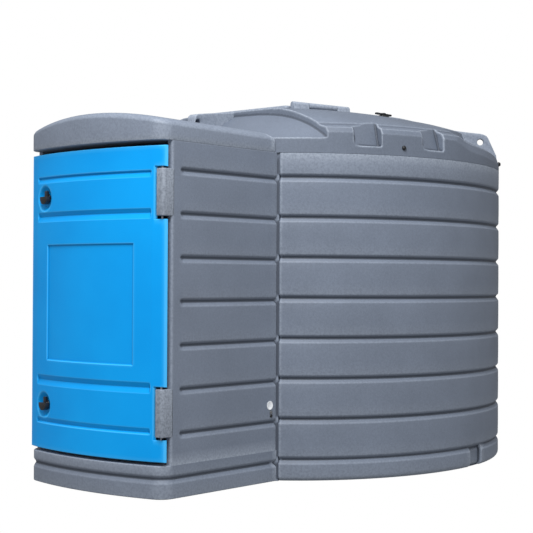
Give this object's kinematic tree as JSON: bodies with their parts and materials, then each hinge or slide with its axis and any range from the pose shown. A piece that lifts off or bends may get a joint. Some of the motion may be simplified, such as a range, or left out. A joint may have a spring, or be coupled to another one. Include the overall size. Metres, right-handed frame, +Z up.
{
  "type": "vertical storage tank",
  "caption": "Oval ribbed plastic storage tank with a domed roof, lifting lugs, a hinged inspection lid and a front equipment cabinet with a lockable hinged door.",
  "frame": {"origin": "on the floor, at the middle of the plan box of the whole part", "axes": "+Z up; the cabinet door faces -Y; +X is to the right of someone who looks at the door"},
  "size_m": [1.8392, 2.92, 1.89],
  "materials": {
    "tank_body": "speckled blue-grey rotomoulded polyethylene, matt",
    "door": "sky-blue moulded plastic, glossy",
    "knob": "black moulded plastic, satin",
    "rubber": "black rubber",
    "hinge_steel": "zinc-plated steel"
  },
  "bodies": {
    "tank": {"tank_floor": "tank_body", "tank_wall_front": "tank_body", "tank_wall_right_front": "tank_body", "tank_wall_right": "tank_body", "tank_wall_right_rear": "tank_body", "tank_wall_left_rear": "tank_body", "tank_wall_left": "tank_body", "tank_wall_left_front": "tank_body", "tank_roof": "tank_body", "lifting_lug_front_top": "tank_body", "lifting_lug_front_base": "tank_body", "lifting_lug_front_nose": "tank_body", "lifting_lug_front_tail": "tank_body", "lifting_lug_right": "tank_body", "lifting_lug_left": "tank_body", "cabinet_base": "tank_body", "cabinet_side_right": "tank_body", "cabinet_side_left": "tank_body", "cabinet_lid": "tank_body", "door_hinge_block_lower": "tank_body", "door_hinge_block_upper": "tank_body", "door_hinge_pin_lower": "hinge_steel", "door_hinge_pin_upper": "hinge_steel", "inspection_hinge_block_front": "tank_body", "inspection_hinge_block_rear": "tank_body", "inspection_hinge_pin": "hinge_steel", "rubber_latch": "rubber"},
    "door": {"cabinet_door": "door"},
    "lower_lock": {"lock_knob_lower": "knob", "lock_cam_lower": "hinge_steel"},
    "upper_lock": {"lock_knob_upper": "knob", "lock_cam_upper": "hinge_steel"},
    "roof_lid": {"inspection_lid": "tank_body", "inspection_lid_leaf": "tank_body"}
  },
  "joints": [
    {"name": "door_swing", "type": "hinge", "parent": "tank", "child": "door", "pos_m": [0.437, -1.374, 0.87], "axis": [0, 0, 1], "range_deg": [0, 115]},
    {"name": "lower_lock_turn", "type": "hinge", "parent": "door", "child": "lower_lock", "pos_m": [-0.325, -1.41206, 0.376], "axis": [-0.1975, -0.9803, 0], "range_deg": [0, 90]},
    {"name": "upper_lock_turn", "type": "hinge", "parent": "door", "child": "upper_lock", "pos_m": [-0.325, -1.41206, 1.364], "axis": [-0.1975, -0.9803, 0], "range_deg": [0, 90]},
    {"name": "roof_lid_swing", "type": "hinge", "parent": "tank", "child": "roof_lid", "pos_m": [0.378, -0.17, 1.874], "axis": [0.2252, 0.9743, 0], "range_deg": [0, 100]}
  ]
}
